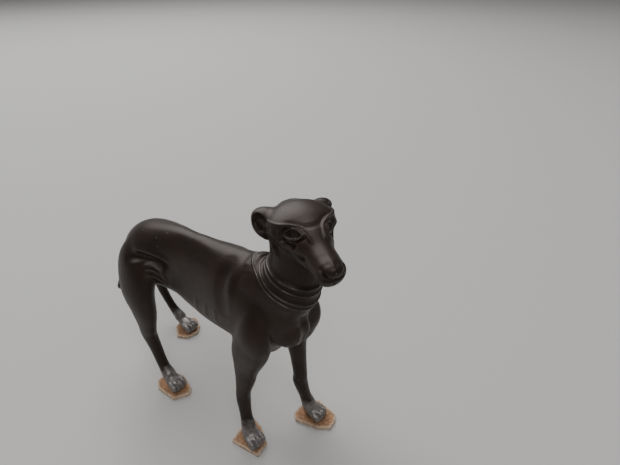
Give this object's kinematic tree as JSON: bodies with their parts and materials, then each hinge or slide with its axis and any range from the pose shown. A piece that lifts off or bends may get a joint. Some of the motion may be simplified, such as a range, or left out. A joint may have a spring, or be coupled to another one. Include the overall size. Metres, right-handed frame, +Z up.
{
  "type": "greyhound statue",
  "caption": "Small dark cast figure of a standing greyhound with a turned head and a ringed collar, on thin cut cork pads under its paws.",
  "frame": {"origin": "middle of the footprint's box, on the surface that the pads stand on", "axes": "+X where the hound's body faces, +Y its left side, +Z up"},
  "size_m": [0.1186, 0.0386, 0.0998],
  "materials": {
    "dark_casting": "near-black warm satin patina, worn to a lighter grey on the paws",
    "cork": "matte cut cork with paler edges"
  },
  "bodies": {
    "root": {"greyhound": "dark_casting", "right_fore_pad": "cork", "left_fore_pad": "cork", "right_hind_pad": "cork", "left_hind_pad": "cork"}
  },
  "joints": []
}
